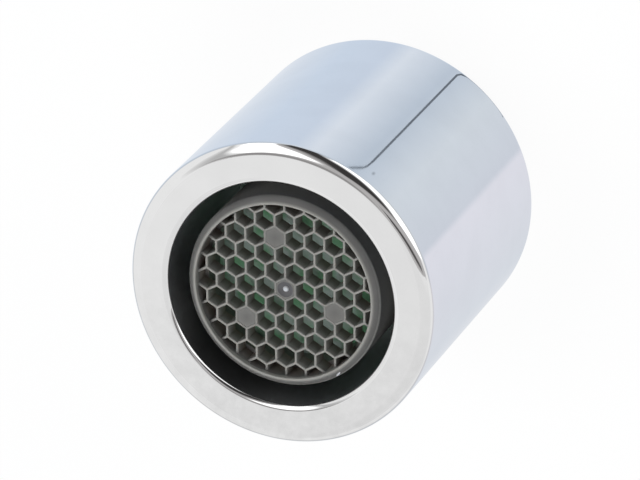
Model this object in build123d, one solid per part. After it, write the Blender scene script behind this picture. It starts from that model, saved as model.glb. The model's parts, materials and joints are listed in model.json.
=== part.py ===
from build123d import *
import os
from math import hypot, sqrt

# Tap aerator with a female thread. It stands on its inlet rim: the origin is
# the centre of that rim and +Z runs along the axis, out of the outlet.
# All lengths are millimetres and all angles are degrees.

# Female thread, drawn as a plain wall at its root
thread_d = 22.0
thread_pitch = 1.0
thread_length = 5.5
mouth_chamfer = 0.25
relief_depth = 0.2

# Housing
thread_wall = 1.0
air_gap = 1.345
outlet_edge_width = 0.9
outlet_edge_height = 0.6
bore_edge_width = 0.42
bore_edge_height = 0.27
inlet_edge_r = 0.4

# Washer
washer_thickness = 2.0
washer_bore_d = 16.4

# Clearances
pass_clearance = 0.1
fit_clearance = 0.05
strainer_clearance = 0.1

# Insert body
flange_thickness = 1.1
body_wall = 0.7
bead_height = 0.4
bead_depth = 0.2
skirt_wall = 0.7
skirt_length = 1.9
window_count = 8
window_width = 27.0
window_height = 2.2
window_margin = 0.3

# Snap lugs that hold the cup on the skirt
lug_count = 3
lug_width = 22.0
lug_height = 0.9
lug_depth = 0.45
lug_offset = 0.7
lug_first_angle = 60.0
lug_side_clearance = 2.0

# Strainer basket
strainer_rim_height = 0.65
strainer_rim_width = 0.675
strainer_wall = 0.5
strainer_taper = 1.6
flank_slot_count = 30
flank_slot_width = 0.5
top_slot_count = 12
top_slot_width = 0.5
top_slot_margin = 0.7
top_slot_length = 2.6

# Flow regulator
core_floor = 0.4
post_d = 4.4
ring_room = 1.35
flute_count = 8
flute_d = 0.9
floor_slot_width = 24.0
floor_slot_reach = 0.6
ring_section_d = 1.4

# Jet plate
plenum_depth = 0.5
plenum_rim = 0.6
jet_plate_thickness = 0.9
jet_d = 0.9
jet_edge = 1.175
jet_row_spacing = 2.1
outer_jet_count = 14
inner_jet_count = 8

# Mixing screens
screen_thickness = 0.45
screen_rim = 0.6
upper_screen_pitch = 1.25
upper_screen_hole = 0.7
upper_screen_turn = 45.0
lower_screen_hole_d = 0.6
screen_spacer_height = 0.8
outlet_spacer_height = 2.2
spacer_wall = 0.35

# Honeycomb cup
cup_d = 15.25
rim_recess = 0.6
rim_height = 0.55
rim_land = 0.15
rim_slope_height = 0.45
rim_slope_bulge = 0.04
rim_wall = 0.675
grid_depth = 1.45
cell_pitch = 1.565
cell_wall = 0.21
solid_cell = (3, -1)
pad_recess = 0.04
smallest_cell_area = 0.06
cup_wall = 0.575
gate_bowl_d = 1.24
gate_bowl_depth = 0.2
gate_nub_d = 0.46

# Radii that pieces share
thread_r = thread_d / 2
housing_r = thread_r + thread_wall
thread_height = 5 / 8 * sqrt(3) / 2 * thread_pitch
flange_r = thread_r - thread_height - pass_clearance
cup_r = cup_d / 2
bore_r = cup_r + air_gap
cup_inner_r = cup_r - cup_wall
stack_r = cup_inner_r - fit_clearance
chamber_r = stack_r - skirt_wall
pocket_r = cup_r - body_wall
pocket_piece_r = pocket_r - fit_clearance
grid_r = cup_r - rim_wall

# Heights of the stack of pieces, counted up from the inlet rim
flange_z = thread_length + washer_thickness
shoulder_z = flange_z + flange_thickness
strainer_rim_z = flange_z + bead_height
core_z = strainer_rim_z + strainer_rim_height
ring_z = core_z + fit_clearance
core_floor_z = ring_z + ring_section_d
jet_plate_z = core_floor_z + core_floor
ledge_z = jet_plate_z + plenum_depth + jet_plate_thickness
window_z = ledge_z + window_margin
cup_end_z = window_z + window_height + window_margin
lug_z = cup_end_z + lug_offset
upper_screen_z = cup_end_z + skirt_length
screen_spacer_z = upper_screen_z + screen_thickness
lower_screen_z = screen_spacer_z + screen_spacer_height
outlet_spacer_z = lower_screen_z + screen_thickness
grid_back_z = outlet_spacer_z + outlet_spacer_height
grid_front_z = grid_back_z + grid_depth
rim_z = grid_front_z + rim_height
housing_length = rim_z + rim_recess


def disc(radius, low, high):
    """Solid disc about the axis between two heights."""
    return Pos(0, 0, low) * extrude(Circle(radius), high - low)


def tube(outer, inner, low, high):
    """Ring of rectangular section about the axis."""
    return Pos(0, 0, low) * extrude(Circle(outer) - Circle(inner), high - low)


def turned(outline, arc=360.0):
    """Solid turned about the axis from a closed outline of radius and height."""
    return revolve(Plane.XZ * make_face(outline.edges()), Axis.Z, arc)


def closed(*points):
    """Closed outline through (radius, height) points."""
    return Polyline(*points, close=True)


def sector(inner, outer, low, high, width):
    """Part of a ring, its middle on +X and its ends on radial planes."""
    outline = closed((inner, low), (outer, low), (outer, high), (inner, high))
    return Rot(0, 0, -width / 2) * turned(outline, width)


def around(shape, count, first=0.0):
    """Equally spaced copies of a shape about the axis."""
    return [Rot(0, 0, first + 360.0 * k / count) * shape for k in range(count)]


def edges_at(shape, radius, height):
    """Circular edges of a shape with one radius and one height."""
    circles = shape.edges().filter_by(GeomType.CIRCLE)
    return [e for e in circles
            if abs(e.radius - radius) < 1e-4 and abs(e.arc_center.Z - height) < 1e-4]


def make_housing():
    """Sleeve with the thread, its relief, the seat, the outlet bore and soft edges."""
    relief_r = thread_r + relief_depth
    outlet_edge = EllipticalCenterArc(
        (housing_r - outlet_edge_width, housing_length - outlet_edge_height),
        outlet_edge_width, outlet_edge_height, start_angle=0, arc_size=90)
    bore_edge = EllipticalCenterArc(
        (bore_r + bore_edge_width, housing_length - bore_edge_height),
        bore_edge_width, bore_edge_height, start_angle=90, arc_size=90)
    walls = Polyline(
        bore_edge @ 1,
        (bore_r, shoulder_z),
        (relief_r, shoulder_z),
        (relief_r, thread_length),
        (thread_r, thread_length),
        (thread_r, mouth_chamfer),
        (thread_r + mouth_chamfer, 0),
        (housing_r, 0),
        outlet_edge @ 0,
    )
    end_face = Line(outlet_edge @ 1, bore_edge @ 0)
    body = turned(outlet_edge + end_face + bore_edge + walls)
    return fillet(edges_at(body, housing_r, 0), inlet_edge_r)


def make_washer():
    """Flat rubber ring between the flange and the spout."""
    return tube(flange_r, washer_bore_d / 2, thread_length, flange_z)


def make_insert_body():
    """Tube with the seat flange, the piece pocket, air windows, skirt and lugs."""
    bead_r = pocket_r - bead_depth
    body = turned(closed(
        (bead_r, flange_z),
        (flange_r, flange_z),
        (flange_r, shoulder_z),
        (cup_r, shoulder_z),
        (cup_r, cup_end_z),
        (stack_r, cup_end_z),
        (stack_r, upper_screen_z),
        (chamber_r, upper_screen_z),
        (chamber_r, ledge_z),
        (pocket_r, ledge_z),
        (pocket_r, strainer_rim_z),
        (bead_r, strainer_rim_z - bead_depth),
    ))
    window = sector(chamber_r / 2, bore_r, window_z, window_z + window_height, window_width)
    body -= around(window, window_count)
    lug = Rot(0, 0, -lug_width / 2) * turned(closed(
        (chamber_r + skirt_wall / 2, lug_z),
        (stack_r + lug_depth, lug_z),
        (stack_r, lug_z + lug_height),
        (chamber_r + skirt_wall / 2, lug_z + lug_height),
    ), lug_width)
    return body + around(lug, lug_count, lug_first_angle)


def make_strainer():
    """Slotted basket with a flat top, its rim caught under the pocket's bead."""
    base_r = pocket_piece_r - strainer_rim_width
    top_r = base_r - strainer_taper
    top_z = thread_length + strainer_clearance
    floor_z = top_z + strainer_wall
    basket = turned(closed(
        (0, top_z),
        (top_r, top_z),
        (base_r, strainer_rim_z),
        (pocket_piece_r, strainer_rim_z),
        (pocket_piece_r, core_z),
        (base_r - strainer_wall, core_z),
        (base_r - strainer_wall, strainer_rim_z),
        (top_r - strainer_wall, floor_z),
        (0, floor_z),
    ))
    slot_height = strainer_rim_z - floor_z
    flank_slot = Pos(base_r - strainer_wall / 2, 0, floor_z + slot_height / 2) * Box(
        2 * strainer_taper, flank_slot_width, slot_height - strainer_wall / 2)
    top_slot = Pos(top_r - top_slot_margin - top_slot_length / 2, 0, top_z) * Box(
        top_slot_length, top_slot_width, 3 * strainer_wall)
    return basket - around(flank_slot, flank_slot_count) - around(top_slot, top_slot_count)


def make_regulator_core():
    """Disc with a fluted post in a round channel, slotted through its floor."""
    post_r = post_d / 2
    core = disc(pocket_piece_r, core_z, jet_plate_z)
    core -= tube(post_r + ring_section_d + ring_room, post_r, core_z, core_floor_z)
    flute = Pos(post_r, 0, 0) * disc(flute_d / 2, core_z, core_floor_z)
    slot = sector(post_r - floor_slot_reach / 2, post_r + floor_slot_reach,
                  core_floor_z, jet_plate_z, floor_slot_width)
    return core - around(flute, flute_count) - around(slot, flute_count)


def make_regulator_ring():
    """Rubber ring that lies on the channel's floor around the post."""
    section_r = ring_section_d / 2
    ring = Torus(post_d / 2 + fit_clearance + section_r, section_r)
    return Pos(0, 0, ring_z + section_r) * ring


def make_jet_plate():
    """Plate with two rings of jet holes under a shallow plenum."""
    plate = disc(pocket_piece_r, jet_plate_z, ledge_z)
    plate -= disc(pocket_piece_r - plenum_rim, jet_plate_z, jet_plate_z + plenum_depth)
    outer_row_r = pocket_piece_r - plenum_rim - jet_edge
    inner_row_r = outer_row_r - jet_row_spacing
    jet = disc(jet_d / 2, jet_plate_z, ledge_z)
    plate -= around(Pos(outer_row_r, 0, 0) * jet, outer_jet_count)
    return plate - around(Pos(inner_row_r, 0, 0) * jet, inner_jet_count)


def make_upper_screen():
    """Moulded disc with square holes in straight rows inside a plain rim."""
    reach = stack_r - screen_rim - upper_screen_hole / sqrt(2)
    rows = int(reach / upper_screen_pitch) + 1
    steps = range(-rows, rows + 1)
    places = [(i * upper_screen_pitch, j * upper_screen_pitch) for i in steps for j in steps]
    hole = Rectangle(upper_screen_hole, upper_screen_hole)
    sheet = Circle(stack_r) - [Pos(x, y) * hole for x, y in places if hypot(x, y) < reach]
    return Pos(0, 0, upper_screen_z) * Rot(0, 0, upper_screen_turn) * extrude(sheet, screen_thickness)


def make_spacer(low, height):
    """Plain ring that keeps two flat pieces of the stack apart."""
    return tube(stack_r, stack_r - spacer_wall, low, low + height)


def cell_places(reach):
    """Centres of the honeycomb's cells within a radius, by their lattice steps."""
    rows = 2 * int(reach / cell_pitch) + 2
    steps = range(-rows, rows + 1)
    places = {}
    for i in steps:
        for j in steps:
            x = cell_pitch * (i + j / 2)
            y = cell_pitch * j * sqrt(3) / 2
            if hypot(x, y) < reach:
                places[i, j] = (x, y)
    return places


def third_turns(i, j):
    """Lattice steps and their copies a third and two thirds of a turn on."""
    return [(i, j), (-i - j, i), (j, -i - j)]


def make_lower_screen():
    """Moulded disc with a round hole behind every second wall junction of the honeycomb."""
    reach = stack_r - screen_rim - lower_screen_hole_d / 2
    junctions = [(x, y + cell_pitch / sqrt(3)) for x, y in cell_places(stack_r + cell_pitch).values()]
    hole = Circle(lower_screen_hole_d / 2)
    sheet = Circle(stack_r) - [Pos(x, y) * hole for x, y in junctions if hypot(x, y) < reach]
    return Pos(0, 0, lower_screen_z) * extrude(sheet, screen_thickness)


def make_honeycomb_cup():
    """Cup with a sloping rim, the honeycomb floor, its solid cells and windows for the lugs."""
    rim_r = grid_r + rim_land
    slope = SagittaArc((rim_r, rim_z), (cup_r, rim_z - rim_slope_height), rim_slope_bulge)
    walls = Polyline(
        slope @ 1,
        (cup_r, cup_end_z),
        (cup_inner_r, cup_end_z),
        (cup_inner_r, grid_back_z),
        (grid_r, grid_back_z),
        (grid_r, rim_z),
        slope @ 0,
    )
    cup = turned(slope + walls)
    opening = RegularPolygon((cell_pitch - cell_wall) / 2, 6, major_radius=False, rotation=30)
    places = cell_places(grid_r + cell_pitch)
    pads = [Pos(*places.pop(steps)) * opening for steps in [(0, 0)] + third_turns(*solid_cell)]
    cells = []
    for place in places.values():
        cell = (Pos(*place) * opening) & Circle(grid_r)
        cells += [face for face in cell.faces() if face.area > smallest_cell_area]
    cup += Pos(0, 0, grid_back_z) * extrude(Circle(rim_r) - cells, grid_depth)
    pad_z = grid_front_z - pad_recess
    cup -= Pos(0, 0, pad_z) * extrude(Sketch() + pads, pad_recess)
    bowl_r = gate_bowl_d ** 2 / (8 * gate_bowl_depth) + gate_bowl_depth / 2
    bowl_floor_z = pad_z - gate_bowl_depth
    cup -= Pos(0, 0, bowl_floor_z + bowl_r) * Sphere(bowl_r)
    cup += Pos(0, 0, bowl_floor_z) * Sphere(gate_nub_d / 2)
    window = sector(cup_inner_r - lug_depth / 2, cup_r + lug_depth, lug_z,
                    lug_z + lug_height + fit_clearance, lug_width + lug_side_clearance)
    return cup - around(window, lug_count, lug_first_angle)


pieces = {
    "housing": make_housing(),
    "inlet_washer": make_washer(),
    "strainer": make_strainer(),
    "regulator_core": make_regulator_core(),
    "regulator_ring": make_regulator_ring(),
    "jet_plate": make_jet_plate(),
    "insert_body": make_insert_body(),
    "upper_screen": make_upper_screen(),
    "screen_spacer": make_spacer(screen_spacer_z, screen_spacer_height),
    "lower_screen": make_lower_screen(),
    "outlet_spacer": make_spacer(outlet_spacer_z, outlet_spacer_height),
    "honeycomb_cup": make_honeycomb_cup(),
}

os.makedirs("parts", exist_ok=True)
for name, shape in pieces.items():
    export_step(shape, f"parts/{name}.step")
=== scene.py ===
import json
from math import atan2, cos, degrees, pi, radians, sin, tan, tau

import bmesh
import bpy
from mathutils import Matrix, Vector


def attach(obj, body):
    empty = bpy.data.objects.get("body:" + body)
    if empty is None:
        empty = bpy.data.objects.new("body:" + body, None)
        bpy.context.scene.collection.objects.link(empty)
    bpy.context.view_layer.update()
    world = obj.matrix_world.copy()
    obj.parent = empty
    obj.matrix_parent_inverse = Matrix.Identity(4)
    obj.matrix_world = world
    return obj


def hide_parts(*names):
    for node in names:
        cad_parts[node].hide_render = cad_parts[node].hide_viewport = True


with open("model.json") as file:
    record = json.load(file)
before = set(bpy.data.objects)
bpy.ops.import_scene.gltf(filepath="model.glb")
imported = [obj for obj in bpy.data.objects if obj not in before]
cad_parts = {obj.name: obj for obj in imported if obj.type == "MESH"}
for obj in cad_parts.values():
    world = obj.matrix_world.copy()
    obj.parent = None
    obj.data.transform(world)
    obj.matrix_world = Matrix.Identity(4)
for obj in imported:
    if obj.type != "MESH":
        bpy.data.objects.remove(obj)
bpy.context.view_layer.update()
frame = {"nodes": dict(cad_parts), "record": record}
nodes = frame["nodes"]
scene = bpy.context.scene

# Lengths are in metres and angles in degrees
MM = 0.001
HAIR = 0.001 * MM
SLIVER = 0.02 * MM
WELD = 0.0001 * MM
SMOOTH_ANGLE = 25

# Camera: a long lens that looks down into the outlet, turned on its side
CAMERA_AZIMUTH = 139.82
CAMERA_ELEVATION = 59.25
CAMERA_ROLL = -136.05
CAMERA_DISTANCE = 409.6 * MM
CAMERA_AIM = Vector((-0.99, -0.10, 11.92)) * MM
CAMERA_LENS = 303.75
CAMERA_HEADING = CAMERA_AZIMUTH - 90

# Lamps: heading from the camera's own, elevation, diameter and power
LAMP_DISTANCE = 480 * MM
SOFTBOXES = {
    "left_softbox": (115, 70, 220 * MM, 0.82),
    "right_softbox": (-115, 70, 220 * MM, 0.82),
    "window": (-15, 24, 240 * MM, 0.25),
}

# White tent, and the sines of the elevations over which it takes over from the table
TENT_WHITE = "#F4F4F4"
TENT_LIGHT = "#F4F9FF"
TENT_FILL = 0.33
TENT_BOUNCE = 0.9
TENT_FOOT = (-0.22, -0.05)

# Table under the tent: tints by heading from the camera's own, and the sines over which it dulls far away
TABLE_TINTS = [
    (-180, "#E2E5EA"),
    (-140, "#DCE1E9"),
    (-60, "#E8E9F3"),
    (-55, "#D5DBE6"),
    (-12, "#DAE2EB"),
    (24, "#C3CFDE"),
    (57, "#E2EAF5"),
    (72, "#D0DCED"),
    (105, "#D1DEEF"),
    (176, "#E6EBF2"),
]
FAR_TABLE = "#EFECE7"
FAR_TABLE_SPAN = (-0.75, -0.3)

# Edge of a sheet on the table, whose first points hug the barrel's foot as a painted contact shadow:
# millimetres toward the camera, to its left, and the line's width
SHEET_EDGE_AND_FOOT_SHADOW = [
    (11.85, -3.0, 0.08), (12.08, 1.1, 0.12), (12.18, 1.8, 0.15), (12.4, 2.08, 0.18), (22.4, 5.45, 0.48),
    (23.0, 5.8, 0.36), (23.25, 6.4, 0.26), (23.25, 7.2, 0.24), (23.1, 9.0, 0.24), (22.6, 14.0, 0.3),
    (23.2, 24.0, 0.36), (27.0, 45.0, 0.36), (60.0, 150.0, 0.36)]
SHEET_EDGE_AND_FOOT_SHADOW_TONE = "#6C747E"

# Cards that only reflections see, and a floor just under the inlet's rim
CARD_DISTANCE = 600 * MM
CARD_STEP = 10 * MM
CARD_CUTS = 9
FLOOR_HALF = 3.0
FLOOR_PAINT = "#FAFAFA"
FLOOR_GLOW = 0.93
FLOOR_Z = -SLIVER

# Housing, turned smooth for its mirror finish; the edges have a width and a height
HOUSING_STEPS = 288
EDGE_STEPS = 14
EDGE_SUPPORT = 0.02 * MM
HOUSING_R = 11.995 * MM
HOUSING_TOP = 23.0 * MM
BORE_R = 8.97 * MM
SHOULDER_Z = 8.6 * MM
RELIEF_R = 11.2 * MM
MOUTH_CHAMFER = 0.25 * MM
OUTLET_EDGE = (0.9 * MM, 0.6 * MM)
BORE_EDGE = (0.42 * MM, 0.27 * MM)
INLET_EDGE = (0.4 * MM, 0.4 * MM)

# Female thread of the inlet, with half the widths of its ridge at the foot and at the crest
THREAD_R = 11.0 * MM
THREAD_LENGTH = 5.5 * MM
THREAD_PITCH = 1.0 * MM
THREAD_DEPTH = 0.54 * MM
THREAD_FOOT = THREAD_PITCH * 7 / 16
THREAD_CREST = THREAD_PITCH / 8
THREAD_START = 0.75 * MM
THREAD_TURNS = 4.3
THREAD_STEPS = 120
THREAD_RUNOUT = 50
THREAD_LEAST = 0.02

# Chrome: marks of the buffing wheel, the film that fingers leave, the pit, and painted shade on one side of
# the bore
BUFF_WAVE = 2.4 * MM
BUFF_WAVE_DEPTH = 0.004 * MM
BUFF_CLOUD = 3.2 * MM
CHROME_TONES = [(0.34, "#EDEDED"), (0.62, "#F0F0F0")]
CHROME_ROUGHNESS = (0.06, 0.03)
FILM_SMEAR = 1.1 * MM
FILM_PATCHES = (0.3, 0.65)
FILM_SIDE = (4 * MM, -10 * MM)
FILM_DARKNESS = 0.1
PIT_HEADING = 55.8
PIT_Z = 21.0 * MM
PIT_R = 0.17 * MM
PIT_CORE = 0.2
PIT_DRAW = 2.2
PIT_TONE = "#C0C0C0"
BORE_TONE = "#D6DADE"
BORE_ROUGHNESS = 0.3
# Painted shade on one side of the bore: its tone, its heading, and the degrees off it with all and with none
# of it
BORE_PAINTED_SHADE_TONE = "#8C8F92"
BORE_PAINTED_SHADE_HEADING = 233
BORE_PAINTED_SHADE_CORE = 12
BORE_PAINTED_SHADE_REACH = 32

# Honeycomb cup
GRID_FRONT_Z = 21.85 * MM
GRID_DEPTH = 1.45 * MM
GRID_R = 6.95 * MM
PAD_Z = GRID_FRONT_Z - 0.04 * MM
PAD_BORDER_R = 0.93 * MM
CUP_EDGE_R = 0.08 * MM
CUP_EDGE_ANGLE = 35
CUP_ROUND_R = 6.9 * MM
CUP_LAND_R = 7.1 * MM
RIM_Z = 22.4 * MM
RIM_SLOPE = 0.45 * MM
RIM_SLOPE_ANGLE = 40
RIM_SLOPE_R = 7.52 * MM
GATE_NUB_R = 0.23 * MM
GATE_BOWL_R = 0.6 * MM
GATE_FLOOR_Z = GRID_FRONT_Z - 0.24 * MM
GATE_CLEAR = 0.66 * MM
LEVEL_NORMAL = 0.999

# Fleck of flash that hangs on the rim's slope: heading, radius, height, half sizes and lean
FLECK_HEADING = 305.5
FLECK_R = 7.44 * MM
FLECK_Z = 22.18 * MM
FLECK_SIZE = (0.27 * MM, 0.085 * MM, 0.07 * MM)
FLECK_LEAN = 108

# Looks of the cup's plastic, kept as numbers on its mesh, with shares for the solid cells and their borders;
# thin edges, the solid cells' edges and their borders carry painted light, and the gate's hollow painted
# shade
TORN = -1.0
PLAIN = 0.0
THIN = 1.0
SHADED_HOLLOW = 2.0
PAD_PALE = 0.3
PAD_BORDER_PALE = 0.6

# The rim has painted light over this width at its inner edge, and a painted highlight toward this heading at
# its outer edge
RIM_PALE_WIDTH = 0.06 * MM
RIM_HIGHLIGHT_HEADING = 312

# Tones of the cup: attribute of its mesh, value with none of the tone, value with all of it, and the tone
CUP_TONES = [
    # Warm painted shade tint at the backs of the cells
    ("in_cell", 0.0, 1.0, "#84736B"),
    # Painted light: paler at thin edges, at the solid cells' edges and at the rim's edges
    ("section", PLAIN, THIN, "#92918C"),
    # Painted shade in the gate's hollow
    ("section", THIN, SHADED_HOLLOW, "#575658"),
    ("section", PLAIN, TORN, "#C4C5C8"),
]

# Tones by height: middle, half heights with all and with none of the tone, the tone, and its largest share;
# deep inside they are painted light, save the strainer's plainer green
# Painted light: a lighter grey deep inside, where the lamps hardly reach
GREY_PAINTED_DEPTH_LIGHT = [(10.0 * MM, 10.4 * MM, 11.8 * MM, "#7A7875", 1.0)]
GREEN_PAINTED_DEPTH_LIGHT_AND_TONE = [
    # Painted light: greyer and lighter deep in the gap
    (12.3 * MM, 3.2 * MM, 4.2 * MM, "#A6ABA8", 1.0),
    # The strainer's own plainer green, never quite full
    (5.0 * MM, 2.6 * MM, 3.6 * MM, "#86A892", 0.75),
]

# Skin of moulded acetal and EPDM, which bend light alike; the grain is drawn coarse, so that it shows
PLASTIC_GRAIN = 0.12 * MM
RUBBER_GRAIN = 0.08 * MM
GRAIN_DEPTH = 0.03 * MM
FLOW_CLOUD = 2.5 * MM
GREEN_CLOUD = 1.6 * MM
SKIN_SPREAD = 0.08
PLASTIC_IOR = 1.48
LIGHT_REACH = 0.3 * MM
LIGHT_WARMTH = (1.0, 0.85, 0.8)

# Values between which most of a noise lies
NOISE_SPAN = (0.3, 0.7)


def linear(code):
    """Linear colour from an sRGB hex code."""
    values = [int(code[k:k + 2], 16) / 255 for k in (1, 3, 5)]
    return [v / 12.92 if v <= 0.04045 else ((v + 0.055) / 1.055) ** 2.4 for v in values] + [1.0]


def per(size):
    """Texture scale for a pattern of this real size."""
    return 1 / size


def heading_point(heading, elevation, distance):
    """Point at a heading from +X and an elevation, about the origin."""
    turn, lift = radians(heading), radians(elevation)
    return distance * Vector((cos(turn) * cos(lift), sin(turn) * cos(lift), sin(lift)))


def add(tree, kind, inputs=None, stops=(), **settings):
    """Adds a node with its settings, sets or links its inputs, and writes a colour ramp's stops."""
    made = tree.nodes.new(kind)
    for name, value in settings.items():
        setattr(made, name, value)
    for name, value in (inputs or {}).items():
        if isinstance(value, bpy.types.NodeSocket):
            tree.links.new(value, made.inputs[name])
        else:
            made.inputs[name].default_value = value
    elements = made.color_ramp.elements if stops else ()
    while len(elements) < len(stops):
        elements.new(1.0)
    for element, (position, code) in zip(elements, stops):
        element.position = position
        element.color = linear(code)
    return made


def new_material(name):
    """An empty node material and its tree."""
    material = bpy.data.materials.new(name)
    material.use_nodes = True
    material.node_tree.nodes.clear()
    return material, material.node_tree


def new_object(name, mesh):
    """A linked object of a mesh."""
    made = bpy.data.objects.new(name, mesh)
    scene.collection.objects.link(made)
    return made


def mesh_of(name, points, faces):
    """A mesh of points and faces."""
    mesh = bpy.data.meshes.new(name)
    mesh.from_pydata(points, [], faces)
    return mesh


def chromed_brass():
    """Buffed brass under bright nickel and chrome: a mirror, slightly wavy from the buffing wheel.

    Plating reaches poorly into a bore, and no wheel does, so the inside stays satin and darker; one side of
    it is darker still with painted shade. Fingers have left a faint film on one side of the outlet's face,
    and a pit in the plating is a grey dot on the barrel.
    """
    material, tree = new_material("chromed_brass")
    place = add(tree, "ShaderNodeTexCoord").outputs["Object"]
    wave = add(tree, "ShaderNodeTexNoise", {"Vector": place, "Scale": per(BUFF_WAVE), "Detail": 2.0})
    cloud = add(tree, "ShaderNodeTexNoise", {"Vector": place, "Scale": per(BUFF_CLOUD), "Detail": 4.0})
    tone = add(tree, "ShaderNodeValToRGB", {"Fac": cloud.outputs["Fac"]}, CHROME_TONES)

    # Finger film on the outlet's face
    axes = add(tree, "ShaderNodeSeparateXYZ", {0: place})
    face = add(tree, "ShaderNodeMapRange", {
        "Value": axes.outputs["Z"], "From Min": HOUSING_TOP - OUTLET_EDGE[1],
        "From Max": HOUSING_TOP - 0.5 * OUTLET_EDGE[1]})
    handled = add(tree, "ShaderNodeMapRange", {
        "Value": axes.outputs["Y"], "From Min": FILM_SIDE[0], "From Max": FILM_SIDE[1],
        "To Max": FILM_DARKNESS})
    smear = add(tree, "ShaderNodeTexNoise", {
        "Vector": place, "Scale": per(FILM_SMEAR), "Detail": 5.0, "Roughness": 0.65})
    patches = add(tree, "ShaderNodeMapRange", {
        "Value": smear.outputs["Fac"], "From Min": FILM_PATCHES[0], "From Max": FILM_PATCHES[1]})
    where = add(tree, "ShaderNodeMath", {
        0: face.outputs["Result"], 1: handled.outputs["Result"]}, operation="MULTIPLY")
    film = add(tree, "ShaderNodeMath", {
        0: where.outputs[0], 1: patches.outputs["Result"]}, operation="MULTIPLY")
    soiled = add(tree, "ShaderNodeMix", {
        0: film.outputs[0], 6: tone.outputs["Color"], 7: linear("#000000")}, data_type="RGBA")

    # Pit in the plating, drawn out along the barrel
    turn = radians(PIT_HEADING)
    pit_place = (HOUSING_R * cos(turn), HOUSING_R * sin(turn), PIT_Z / PIT_DRAW)
    drawn = add(tree, "ShaderNodeVectorMath", {0: place, 1: (1, 1, 1 / PIT_DRAW)}, operation="MULTIPLY")
    off = add(tree, "ShaderNodeVectorMath", {0: drawn.outputs[0], 1: pit_place}, operation="DISTANCE")
    pit = add(tree, "ShaderNodeMapRange", {
        "Value": off.outputs["Value"], "From Min": PIT_R, "From Max": PIT_CORE * PIT_R})
    pitted = add(tree, "ShaderNodeMix", {
        0: pit.outputs["Result"], 6: soiled.outputs[2], 7: linear(PIT_TONE)}, data_type="RGBA")

    # Inside of the bore, with painted shade on one side of it
    flat = add(tree, "ShaderNodeVectorMath", {0: place, 1: (1, 1, 0)}, operation="MULTIPLY")
    reach = add(tree, "ShaderNodeVectorMath", {0: flat.outputs[0]}, operation="LENGTH")
    inside = add(tree, "ShaderNodeMapRange", {
        "Value": reach.outputs["Value"], "From Min": BORE_R + SLIVER, "From Max": BORE_R})
    turn = radians(BORE_PAINTED_SHADE_HEADING)
    side = add(tree, "ShaderNodeVectorMath", {
        0: place, 1: (cos(turn), sin(turn), 0)}, operation="DOT_PRODUCT")
    painted_shade = add(tree, "ShaderNodeMapRange", {
        "Value": side.outputs["Value"], "From Min": BORE_R * cos(radians(BORE_PAINTED_SHADE_REACH)),
        "From Max": BORE_R * cos(radians(BORE_PAINTED_SHADE_CORE))})
    bore = add(tree, "ShaderNodeMix", {
        0: painted_shade.outputs["Result"], 6: linear(BORE_TONE), 7: linear(BORE_PAINTED_SHADE_TONE)}, data_type="RGBA")
    shade = add(tree, "ShaderNodeMix", {
        0: inside.outputs["Result"], 6: pitted.outputs[2], 7: bore.outputs[2]}, data_type="RGBA")

    # Gloss and waviness
    gloss = add(tree, "ShaderNodeMapRange", {
        "Value": cloud.outputs["Fac"], "From Min": NOISE_SPAN[0], "From Max": NOISE_SPAN[1],
        "To Min": CHROME_ROUGHNESS[0], "To Max": CHROME_ROUGHNESS[1]})
    satin = add(tree, "ShaderNodeMapRange", {"Value": inside.outputs["Result"], "To Max": BORE_ROUGHNESS})
    finish = add(tree, "ShaderNodeMath", {
        0: gloss.outputs["Result"], 1: satin.outputs["Result"]}, operation="MAXIMUM")
    relief = add(tree, "ShaderNodeBump", {
        "Height": wave.outputs["Fac"], "Strength": 0.25, "Distance": BUFF_WAVE_DEPTH})
    surface = add(tree, "ShaderNodeBsdfPrincipled", {
        "Base Color": shade.outputs[2], "Metallic": 1.0, "Roughness": finish.outputs[0],
        "Normal": relief.outputs["Normal"]})
    add(tree, "ShaderNodeOutputMaterial", {"Surface": surface.outputs[0]})
    return material


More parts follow.
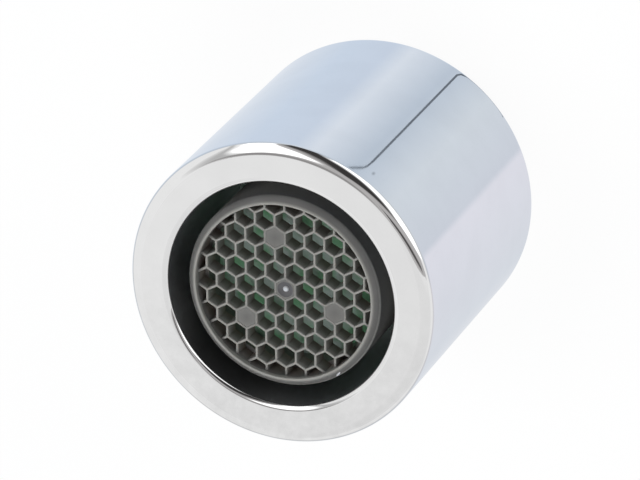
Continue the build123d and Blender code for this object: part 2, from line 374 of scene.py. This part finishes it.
def moulded_plastic(
        name, dark, light, roughness, grain=PLASTIC_GRAIN, clouds=FLOW_CLOUD, sheer=0.4, depths=(), tones=()):
    """Moulded plastic or rubber: satin skin, flow clouds, and the fine grain of the mould's steel.

    Light goes a little way in and comes out warmer, unless sheer is zero. Walls deep inside have another
    tone, painted light where the lamps hardly reach, and the backs of the cells a warm painted shade. Thin
    edges are painted paler for the light they let through, the hollow of the gate has painted shade, and what
    is torn off there turns white.
    """
    material, tree = new_material(name)
    place = add(tree, "ShaderNodeTexCoord").outputs["Object"]
    cloud = add(tree, "ShaderNodeTexNoise", {"Vector": place, "Scale": per(clouds), "Detail": 3.0})
    tone = add(tree, "ShaderNodeValToRGB", {"Fac": cloud.outputs["Fac"]}, [(0.4, dark), (0.6, light)])
    colour = tone.outputs["Color"]
    shades = []
    for middle, full, none, shade, most in depths:
        height = add(tree, "ShaderNodeSeparateXYZ", {0: place}).outputs["Z"]
        off = add(tree, "ShaderNodeMath", {0: height, 1: middle}, operation="SUBTRACT")
        away = add(tree, "ShaderNodeMath", {0: off.outputs[0]}, operation="ABSOLUTE")
        shades.append((away.outputs[0], none, full, shade, most))
    for attribute, none, full, shade in tones:
        told = add(tree, "ShaderNodeAttribute", attribute_name=attribute)
        shades.append((told.outputs["Fac"], none, full, shade, 1.0))
    for value, none, full, shade, most in shades:
        share = add(tree, "ShaderNodeMapRange", {
            "Value": value, "From Min": none, "From Max": full, "To Max": most})
        mixed = add(tree, "ShaderNodeMix", {
            0: share.outputs["Result"], 6: colour, 7: linear(shade)}, data_type="RGBA")
        colour = mixed.outputs[2]
    skin = add(tree, "ShaderNodeTexNoise", {"Vector": place, "Scale": per(grain), "Detail": 2.0})
    relief = add(tree, "ShaderNodeBump", {
        "Height": skin.outputs["Fac"], "Strength": 0.3, "Distance": GRAIN_DEPTH})
    satin = add(tree, "ShaderNodeMapRange", {
        "Value": skin.outputs["Fac"], "From Min": NOISE_SPAN[0], "From Max": NOISE_SPAN[1],
        "To Min": roughness - SKIN_SPREAD, "To Max": roughness + SKIN_SPREAD})
    surface = add(tree, "ShaderNodeBsdfPrincipled", {
        "Base Color": colour, "Roughness": satin.outputs["Result"], "Normal": relief.outputs["Normal"],
        "IOR": PLASTIC_IOR, "Subsurface Weight": sheer, "Subsurface Radius": LIGHT_WARMTH,
        "Subsurface Scale": LIGHT_REACH})
    add(tree, "ShaderNodeOutputMaterial", {"Surface": surface.outputs[0]})
    return material


def dress_nodes():
    """Gives every CAD node its finish, by the record's slots."""
    for part in frame["record"]["subparts"]:
        mesh = nodes[part["node"]].data
        mesh.materials.clear()
        mesh.materials.append(FINISHES[part["material_slot"]])


def add_piece(name, shape, slot):
    """Turns a bmesh into a dressed piece that rides with the part."""
    mesh = bpy.data.meshes.new(name)
    shape.to_mesh(mesh)
    shape.free()
    mesh.materials.append(FINISHES[slot])
    piece = new_object(name, mesh)
    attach(piece, "root")
    return piece


def soft_edge(radius, height, size, start):
    """Quarter ellipse about a centre, with a close point at each end that keeps the walls' shading flat."""
    turns = [radians(start + 90 * k / EDGE_STEPS) for k in range(EDGE_STEPS + 1)]
    arc = [Vector((radius + size[0] * cos(turn), height + size[1] * sin(turn))) for turn in turns]
    ends = [Vector((sin(turns[0]), -cos(turns[0]))), Vector((-sin(turns[-1]), cos(turns[-1])))]
    return [arc[0] + EDGE_SUPPORT * ends[0]] + arc + [arc[-1] + EDGE_SUPPORT * ends[1]]


def swing(shape, outline, turn):
    """Adds an outline's points, each a radius and a height, at a turn about the axis."""
    return [shape.verts.new((radius * cos(turn), radius * sin(turn), height)) for radius, height in outline]


def make_housing():
    """Turned sleeve with the same form as its solid, in even steps so that its mirror shows no facets."""
    outline = soft_edge(HOUSING_R - OUTLET_EDGE[0], HOUSING_TOP - OUTLET_EDGE[1], OUTLET_EDGE, 0)
    outline += soft_edge(BORE_R + BORE_EDGE[0], HOUSING_TOP - BORE_EDGE[1], BORE_EDGE, 90)
    outline += [Vector(point) for point in (
        (BORE_R, SHOULDER_Z),
        (RELIEF_R, SHOULDER_Z),
        (RELIEF_R, THREAD_LENGTH),
        (THREAD_R, THREAD_LENGTH),
        (THREAD_R, MOUTH_CHAMFER),
        (THREAD_R + MOUTH_CHAMFER, 0),
    )]
    outline += soft_edge(HOUSING_R - INLET_EDGE[0], INLET_EDGE[1], INLET_EDGE, 270)
    shape = bmesh.new()
    rows = [swing(shape, outline, tau * k / HOUSING_STEPS) for k in range(HOUSING_STEPS)]
    count = len(outline)
    for low, high in zip(rows, rows[1:] + rows[:1]):
        for a in range(count):
            b = (a + 1) % count
            shape.faces.new((low[a], high[a], high[b], low[b])).smooth = True
    bmesh.ops.recalc_face_normals(shape, faces=shape.faces)
    for edge in shape.edges:
        edge.smooth = edge.calc_face_angle() < radians(SMOOTH_ANGLE)
    piece = add_piece("housing_mirror", shape, "chromed_brass")
    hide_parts("housing")


def make_thread():
    """Ridge of the female thread, wound up the inlet's plain wall and run out at both ends."""
    steps = round(THREAD_TURNS * THREAD_STEPS)
    shape = bmesh.new()
    rows = []
    for k in range(steps + 1):
        height = THREAD_START + THREAD_PITCH * k / THREAD_STEPS
        swell = min(1.0, k / THREAD_RUNOUT, (steps - k) / THREAD_RUNOUT)
        crest = THREAD_R - max(swell, THREAD_LEAST) * THREAD_DEPTH
        outline = [
            (THREAD_R, height - THREAD_FOOT),
            (crest, height - THREAD_CREST),
            (crest, height + THREAD_CREST),
            (THREAD_R, height + THREAD_FOOT),
        ]
        rows.append(swing(shape, outline, tau * k / THREAD_STEPS))
    count = len(outline)
    for low, high in zip(rows, rows[1:]):
        for a in range(count):
            b = (a + 1) % count
            shape.faces.new((low[a], low[b], high[b], high[a]))
    shape.faces.new(reversed(rows[0]))
    shape.faces.new(rows[-1])
    bmesh.ops.recalc_face_normals(shape, faces=shape.faces)
    add_piece("inlet_thread", shape, "chromed_brass")


def soften_cup(shape):
    """Rounds the sharp edges of the cup's outlet side, and cuts its rim where the slope ends."""
    edges = []
    for edge in shape.edges:
        outward = all(v.co.z > GRID_FRONT_Z - HAIR for v in edge.verts)
        if outward and edge.is_manifold and edge.calc_face_angle_signed() > radians(CUP_EDGE_ANGLE):
            edges.append(edge)
    bmesh.ops.bevel(
        shape, geom=edges, offset=CUP_EDGE_R, offset_type="OFFSET", segments=3, profile=0.5,
        affect="EDGES", clamp_overlap=False)
    slope_end = Vector((0, 0, RIM_Z - (RIM_SLOPE_R - CUP_LAND_R) * tan(radians(RIM_SLOPE_ANGLE))))
    bmesh.ops.bisect_plane(
        shape, geom=shape.verts[:] + shape.edges[:] + shape.faces[:], plane_co=slope_end, plane_no=(0, 0, 1))


def poke_pads(shape):
    """Gives each solid cell's face a point in its middle, and returns those points."""
    pads = []
    for face in shape.faces:
        middle = face.calc_center_median()
        level = face.normal.z > LEVEL_NORMAL and abs(middle.z - PAD_Z) < HAIR
        if level and middle.xy.length > GATE_CLEAR:
            pads.append(face)
    pads = bmesh.ops.dissolve_faces(shape, faces=pads)["region"]
    return bmesh.ops.poke(shape, faces=pads)["verts"]


def cup_section(middle, vert, pad_middles):
    """Look of the plastic at a corner of a face with this middle: torn, plain, painted light at thin edges,
    painted shade in the gate's hollow, or between them.
    """
    spot = vert.co.xy
    radius, height = spot.length, vert.co.z
    on_rim = middle.z > GRID_FRONT_Z + SLIVER and radius > CUP_ROUND_R
    if middle.xy.length < GATE_NUB_R and middle.z > GATE_FLOOR_Z:
        return TORN
    # The gate's hollow gets painted shade
    if middle.xy.length < GATE_BOWL_R:
        return SHADED_HOLLOW
    if vert in pad_middles:
        return PLAIN
    # Edges of the solid cells, and the wall tops near them, get painted light
    if abs(height - PAD_Z) < HAIR:
        return PAD_PALE
    if radius < CUP_ROUND_R and height > GRID_FRONT_Z - CUP_EDGE_R - HAIR:
        pad_away = min((spot - pad.co.xy).length for pad in pad_middles)
        return PAD_BORDER_PALE if pad_away < PAD_BORDER_R else THIN
    # Outer edge of the rim: a painted highlight, strongest toward one heading
    if on_rim and radius > RIM_SLOPE_R + SLIVER:
        highlight_side = heading_point(RIM_HIGHLIGHT_HEADING, 0, 1).xy
        return max(PLAIN, spot.normalized().dot(highlight_side))
    # Inner edge of the land: painted light
    if on_rim and height > RIM_Z - RIM_SLOPE:
        return min(THIN, max(PLAIN, 1 - (radius - CUP_LAND_R) / RIM_PALE_WIDTH))
    return PLAIN


def make_cup():
    """Honeycomb cup with the small radii that a mould leaves on the edges of the outlet side.

    Each corner of a face keeps how its plastic looks there, and whether it lies at the back of a cell.
    """
    shape = bmesh.new()
    shape.from_mesh(nodes["honeycomb_cup"].data)
    bmesh.ops.remove_doubles(shape, verts=shape.verts, dist=WELD)
    soften_cup(shape)
    pad_middles = poke_pads(shape)
    section = shape.loops.layers.float.new("section")
    in_cell = shape.loops.layers.float.new("in_cell")
    for face in shape.faces:
        middle = face.calc_center_median()
        face.smooth = middle.xy.length > CUP_ROUND_R
        for loop in face.loops:
            spot = loop.vert.co
            # The backs of the cells get a warm painted shade tint
            at_back = spot.xy.length < GRID_R + SLIVER and spot.z < GRID_FRONT_Z - GRID_DEPTH / 2
            loop[in_cell] = 1.0 if at_back else 0.0
            loop[section] = cup_section(middle, loop.vert, pad_middles)
    for edge in shape.edges:
        edge.smooth = edge.is_manifold and edge.calc_face_angle() < radians(SMOOTH_ANGLE)
    piece = add_piece("honeycomb_cup_softened", shape, "grey_plastic")
    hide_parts("honeycomb_cup")


def make_fleck():
    """Torn fleck of flash, left on the rim's slope when the cup was trimmed."""
    shape = bmesh.new()
    bmesh.ops.create_icosphere(shape, subdivisions=3, radius=1.0)
    section = shape.loops.layers.float.new("section")
    for face in shape.faces:
        face.smooth = True
        for loop in face.loops:
            loop[section] = TORN
    slope = Matrix.Rotation(radians(RIM_SLOPE_ANGLE), 4, "Y") @ Matrix.Rotation(radians(FLECK_LEAN), 4, "Z")
    place = Matrix.Rotation(radians(FLECK_HEADING), 4, "Z") @ Matrix.Translation((FLECK_R, 0, FLECK_Z))
    bmesh.ops.transform(shape, matrix=place @ slope @ Matrix.Diagonal((*FLECK_SIZE, 1)), verts=shape.verts)
    add_piece("flash_fleck", shape, "grey_plastic")


def reflection_only(card, shade, strength):
    """Makes a stage object that only reflections see, clear where its cover fades out."""
    material, tree = new_material(card.name)
    cover = add(tree, "ShaderNodeAttribute", attribute_name="cover")
    clear = add(tree, "ShaderNodeBsdfTransparent")
    glow = add(tree, "ShaderNodeEmission", {"Color": linear(shade), "Strength": strength})
    mixed = add(tree, "ShaderNodeMixShader", {
        0: cover.outputs["Fac"], 1: clear.outputs[0], 2: glow.outputs[0]})
    add(tree, "ShaderNodeOutputMaterial", {"Surface": mixed.outputs[0]})
    card.data.materials.append(material)
    card.visible_camera = False
    card.visible_diffuse = False
    card.visible_shadow = False


def make_card(name, layer, shade, strength, corners):
    """A card hung round the object, low layers in front, with soft edges.

    Corners run counterclockwise. Each has its degrees from the zenith toward +X and +Y, and the softness
    of the edge there in degrees.
    """
    shape = bmesh.new()
    cover = shape.verts.layers.float.new("cover")
    core, rim = [], []
    for before, (x, y, soft), after in zip(corners[-1:] + corners, corners, corners[1:] + corners[:1]):
        along = Vector((after[0] - before[0], after[1] - before[1])).normalized()
        outward = Vector((along.y, -along.x, 0)) * soft / 2
        core.append(shape.verts.new(Vector((x, y, 0)) - outward))
        rim.append(shape.verts.new(Vector((x, y, 0)) + outward))
        core[-1][cover] = 1.0
    shape.faces.new(core)
    for k in range(len(corners)):
        shape.faces.new((core[k - 1], core[k], rim[k], rim[k - 1]))
    bmesh.ops.triangulate(shape, faces=shape.faces)
    bmesh.ops.subdivide_edges(shape, edges=shape.edges, cuts=CARD_CUTS, use_grid_fill=True)
    for vert in shape.verts:
        heading = degrees(atan2(vert.co.y, vert.co.x))
        vert.co = heading_point(heading, 90 - vert.co.length, CARD_DISTANCE + layer * CARD_STEP)
    mesh = bpy.data.meshes.new(name)
    shape.to_mesh(mesh)
    shape.free()
    reflection_only(new_object(name, mesh), shade, strength)


def make_cards():
    """Dark, grey and bright cards that draw the chrome's rounded edges."""
    make_card("dark_screen", 0, "#3C3A3A", 1.0, [
        (0, 13, 7), (28, 14, 9), (32.5, 30, 13), (29, 46, 13), (19, 67, 14), (9, 90, 10), (3, 108, 12),
        (-30, 110, 14), (-29, 90, 10), (-20, 75, 8), (-9, 56, 10), (-4, 38, 10), (-3, 24, 9)])
    make_card("dark_boom", 0, "#504E4E", 1.0, [
        (0, -8, 2), (18, -7, 2), (44, -5, 3), (44, -2, 3), (24, -1, 2), (2, -1, 2)])
    make_card("grey_fan", 0, "#949292", 1.0, [
        (-21.5, -16, 4), (-13, -13, 4), (-5, -8, 4), (-10, -3, 4), (-20, -4, 4), (-28, -7.5, 6)])
    make_card("grey_ceiling", 1, "#BAB8B8", 1.0, [
        (-20.5, -17, 3), (-10, -11, 3), (4, -2, 3), (66, -6, 4), (66, 8, 4), (46, 12, 3), (20, 22, 3),
        (5, 65, 3), (-2, 100, 3), (-36, 96, 3), (-31, 80, 3), (-23, 62, 3), (-12, 34, 3), (-8, 14, 3),
        (-11, 6, 3), (-23, -3, 3), (-27, -9, 2)])
    make_card("side_panel", 2, "#FFFFFF", 1.5, [
        (-25, 1, 2), (-23, -3, 2), (-5, 10, 2), (-5, 88, 2), (-36, 90, 4), (-57, 78, 6), (-51, 62, 3),
        (-42.5, 46, 3), (-38.5, 32, 3), (-35, 20, 2), (-29.5, 8, 2)])
    make_card("side_panel_frame", 3, "#BEBEBE", 1.0, [
        (-26, -13, 5), (-20, -12, 2), (-27.5, 0, 2), (-35.5, 16, 2), (-42, 34, 3), (-50, 52, 3), (-63, 70, 4),
        (-67, 68, 4), (-54.5, 51, 4), (-47, 32, 6), (-41.5, 14, 8), (-36, -1, 8)])
    make_card("window_panel", 2, "#FFFFFF", 1.5, [
        (33, 12, 3), (60, 11, 3), (88, 10, 4), (90, 30, 4), (60, 90, 4), (20, 106, 4), (14, 92, 4),
        (26, 67, 4), (35, 44, 4), (36, 28, 4)])
    make_card("tent_seam", 4, "#E9E9E9", 1.0, [
        (-18, -60, 12), (50, -60, 20), (60, -10, 20), (-5, -8, 5), (-18, -14, 12)])


def make_sheet_edge_and_foot_shadow():
    """Rounded corner of a sheet on the table, seen as a thin line in the barrel; where it hugs the barrel's
    foot it is a painted contact shadow.
    """
    turn = Matrix.Rotation(radians(CAMERA_HEADING), 3, "Z")
    points = []
    for side in (-0.5, 0.5):
        for k, (x, y, width) in enumerate(SHEET_EDGE_AND_FOOT_SHADOW):
            before = SHEET_EDGE_AND_FOOT_SHADOW[max(k - 1, 0)]
            after = SHEET_EDGE_AND_FOOT_SHADOW[min(k + 1, len(SHEET_EDGE_AND_FOOT_SHADOW) - 1)]
            along = Vector((after[0] - before[0], after[1] - before[1], 0)).normalized()
            across = Vector((-along.y, along.x, 0)) * side * width
            points.append(turn @ ((Vector((x, y, 0)) + across) * MM))
    count = len(SHEET_EDGE_AND_FOOT_SHADOW)
    faces = [(k, k + 1, count + k + 1, count + k) for k in range(count - 1)]
    edge = new_object("sheet_edge_and_foot_shadow", mesh_of("sheet_edge_and_foot_shadow", points, faces))
    cover = edge.data.attributes.new("cover", "FLOAT", "POINT")
    cover.data.foreach_set("value", [1.0] * len(points))
    reflection_only(edge, SHEET_EDGE_AND_FOOT_SHADOW_TONE, 1.0)


def make_floor():
    """Pale floor, white to the camera, with the object's soft shadow, and clear from below."""
    material, tree = new_material("white_floor")
    path = add(tree, "ShaderNodeLightPath")
    share = add(tree, "ShaderNodeMath", {
        0: path.outputs["Is Camera Ray"], 1: FLOOR_GLOW}, operation="MULTIPLY")
    paint = add(tree, "ShaderNodeBsdfDiffuse", {"Color": linear(FLOOR_PAINT)})
    glow = add(tree, "ShaderNodeEmission", {"Color": linear("#FFFFFF"), "Strength": 1.0})
    mixed = add(tree, "ShaderNodeMixShader", {0: share.outputs[0], 1: paint.outputs[0], 2: glow.outputs[0]})
    below = add(tree, "ShaderNodeNewGeometry").outputs["Backfacing"]
    clear = add(tree, "ShaderNodeBsdfTransparent")
    one_sided = add(tree, "ShaderNodeMixShader", {0: below, 1: mixed.outputs[0], 2: clear.outputs[0]})
    add(tree, "ShaderNodeOutputMaterial", {"Surface": one_sided.outputs[0]})
    corners = [(-1, -1), (1, -1), (1, 1), (-1, 1)]
    points = [(FLOOR_HALF * x, FLOOR_HALF * y, FLOOR_Z) for x, y in corners]
    floor = new_object("floor", mesh_of("floor", points, [(0, 1, 2, 3)]))
    floor.data.materials.append(material)
    floor.visible_glossy = False
    floor.visible_diffuse = False


def make_world():
    """White tent: even fill light, a bluish table below the horizon for the chrome, and white behind."""
    world = bpy.data.worlds.new("studio")
    scene.world = world
    world.use_nodes = True
    tree = world.node_tree
    tree.nodes.clear()

    # Rays that mirror the room before any matt surface has scattered them
    path = add(tree, "ShaderNodeLightPath")
    glossy = add(tree, "ShaderNodeMath", {
        0: path.outputs["Is Glossy Ray"], 1: path.outputs["Is Transmission Ray"]}, operation="MAXIMUM")
    direct = add(tree, "ShaderNodeMath", {
        0: path.outputs["Diffuse Depth"], 1: 0.5}, operation="LESS_THAN")
    mirrored = add(tree, "ShaderNodeMath", {
        0: glossy.outputs[0], 1: direct.outputs[0]}, operation="MULTIPLY")

    # Table by heading and distance, and the tent above it
    direction = add(tree, "ShaderNodeTexCoord").outputs["Generated"]
    turned = add(tree, "ShaderNodeVectorRotate", {
        "Vector": direction, "Angle": radians(-CAMERA_HEADING)}, rotation_type="Z_AXIS")
    axes = add(tree, "ShaderNodeSeparateXYZ", {0: turned.outputs[0]})
    heading = add(tree, "ShaderNodeMath", {
        0: axes.outputs["Y"], 1: axes.outputs["X"]}, operation="ARCTAN2")
    share = add(tree, "ShaderNodeMapRange", {"Value": heading.outputs[0], "From Min": -pi, "From Max": pi})
    table = add(
        tree, "ShaderNodeValToRGB", {"Fac": share.outputs["Result"]},
        [((turn + 180) / 360, code) for turn, code in TABLE_TINTS])
    away = add(tree, "ShaderNodeMapRange", {
        "Value": axes.outputs["Z"], "From Min": FAR_TABLE_SPAN[0], "From Max": FAR_TABLE_SPAN[1]})
    far_table = add(tree, "ShaderNodeMix", {
        0: away.outputs["Result"], 6: table.outputs["Color"], 7: linear(FAR_TABLE)},
        data_type="RGBA", blend_type="MULTIPLY")
    height = add(tree, "ShaderNodeMapRange", {
        "Value": axes.outputs["Z"], "From Min": TENT_FOOT[0], "From Max": TENT_FOOT[1]})
    blend = add(tree, "ShaderNodeMix", {
        0: height.outputs["Result"], 6: far_table.outputs[2], 7: linear(TENT_WHITE)}, data_type="RGBA")

    # Fill light, mirrored room and white background
    level = add(tree, "ShaderNodeMapRange", {
        "Value": glossy.outputs[0], "To Min": TENT_FILL, "To Max": TENT_BOUNCE})
    fill = add(tree, "ShaderNodeBackground", {
        "Color": linear(TENT_LIGHT), "Strength": level.outputs["Result"]})
    tent = add(tree, "ShaderNodeBackground", {"Color": blend.outputs[2], "Strength": 1.0})
    white = add(tree, "ShaderNodeBackground", {"Color": linear("#FFFFFF"), "Strength": 1.0})
    unseen = add(tree, "ShaderNodeMixShader", {
        0: mirrored.outputs[0], 1: fill.outputs[0], 2: tent.outputs[0]})
    seen = add(tree, "ShaderNodeMixShader", {
        0: path.outputs["Is Camera Ray"], 1: unseen.outputs[0], 2: white.outputs[0]})
    add(tree, "ShaderNodeOutputWorld", {"Surface": seen.outputs[0]})


def make_lamps():
    """Softboxes at both sides, leaning away from the camera, and a low window."""
    for name, (turn, lift, diameter, power) in SOFTBOXES.items():
        data = bpy.data.lights.new(name, "AREA")
        data.shape = "DISK"
        data.size = diameter
        data.energy = power
        lamp = bpy.data.objects.new(name, data)
        scene.collection.objects.link(lamp)
        lamp.location = heading_point(CAMERA_HEADING + turn, lift, LAMP_DISTANCE)
        lamp.rotation_euler = lamp.location.to_track_quat("Z", "Y").to_euler()
        lamp.visible_glossy = False


def make_camera():
    """Camera that looks down into the outlet from one side, rolled about its own line of sight."""
    turn, lift, roll = (radians(v) for v in (CAMERA_AZIMUTH, CAMERA_ELEVATION, CAMERA_ROLL))
    back = Vector((sin(turn) * cos(lift), -cos(turn) * cos(lift), sin(lift)))
    level = Vector((cos(turn), sin(turn), 0))
    upright = back.cross(level)
    right = cos(roll) * level + sin(roll) * upright
    up = cos(roll) * upright - sin(roll) * level
    data = bpy.data.cameras.new("camera")
    data.lens = CAMERA_LENS
    data.sensor_fit = "HORIZONTAL"
    camera = bpy.data.objects.new("camera", data)
    place = CAMERA_AIM + CAMERA_DISTANCE * back
    camera.matrix_world = Matrix.Translation(place) @ Matrix((right, up, back)).transposed().to_4x4()
    scene.collection.objects.link(camera)
    scene.camera = camera


FINISHES = {
    "chromed_brass": chromed_brass(),
    # Acetal full of grey pigment: an even satin grey, with painted light at thin walls and deep inside,
    # painted shade at the backs of the cells and in the gate's hollow, and chalky where it is torn
    "grey_plastic": moulded_plastic(
        "grey_acetal", "#62615F", "#676664", 0.42, depths=GREY_PAINTED_DEPTH_LIGHT, tones=CUP_TONES),
    # Acetal with a little green pigment: cloudy, from leaf green to grey green; deep in the gap a paler grey
    # stands in as painted light, and the strainer is a plainer green
    "green_plastic": moulded_plastic(
        "green_acetal", "#6CA17A", "#A0B0A8", 0.42, clouds=GREEN_CLOUD, depths=GREEN_PAINTED_DEPTH_LIGHT_AND_TONE),
    # Acetal with no pigment: milky white
    "pale_plastic": moulded_plastic("natural_acetal", "#DAD9D3", "#E0DFDA", 0.4),
    # EPDM rubber, black with soot: matt, and no light goes in
    "black_rubber": moulded_plastic(
        "epdm_rubber", "#191919", "#202020", 0.65, grain=RUBBER_GRAIN, sheer=0.0),
}
dress_nodes()
make_housing()
make_thread()
make_cup()
make_fleck()
make_floor()
make_world()
make_lamps()
make_cards()
make_sheet_edge_and_foot_shadow()
make_camera()
scene.view_settings.view_transform = "Standard"
